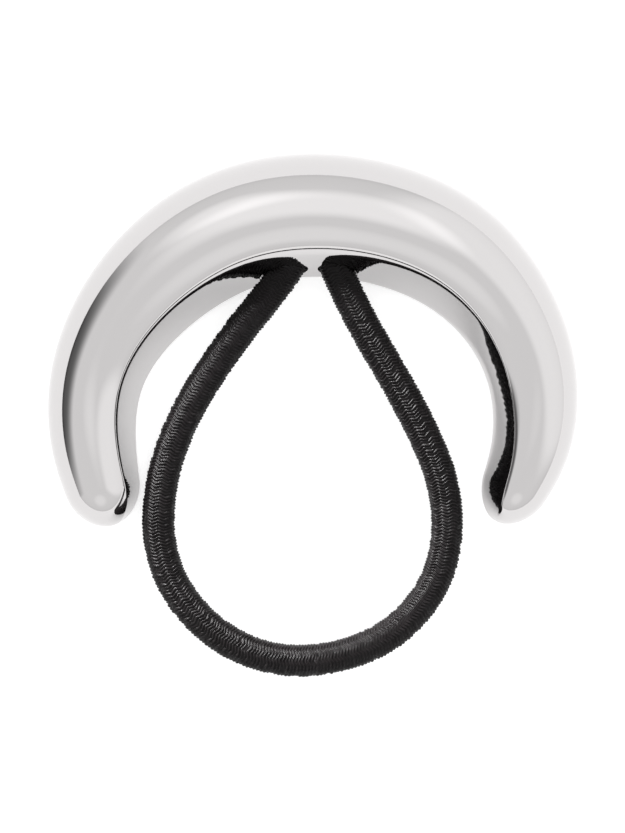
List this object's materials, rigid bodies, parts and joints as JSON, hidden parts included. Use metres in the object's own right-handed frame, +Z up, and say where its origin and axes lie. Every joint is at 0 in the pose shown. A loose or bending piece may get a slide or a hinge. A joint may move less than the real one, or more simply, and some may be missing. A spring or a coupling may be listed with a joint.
{
  "type": "ponytail hair tie with a metal crescent",
  "caption": "Hair tie: a puffed mirror-polished metal crescent whose inner face holds the ends of a loop of round black covered elastic.",
  "frame": {"origin": "middle of the crescent's box in X and Y, at its flat back, which is the surface it rests on", "axes": "+X across the crescent from its left tip to its right tip, +Y from the tips to the crown, +Z up from the flat back to the dome"},
  "size_m": [0.0652, 0.0642, 0.0133],
  "materials": {
    "polished_metal": "mirror-polished silver-tone plating over a metal shell",
    "covered_elastic": "tightly braided black yarn cover with fine ribs across it"
  },
  "bodies": {
    "root": {"crescent": "polished_metal", "elastic_loop": "covered_elastic"}
  },
  "joints": []
}
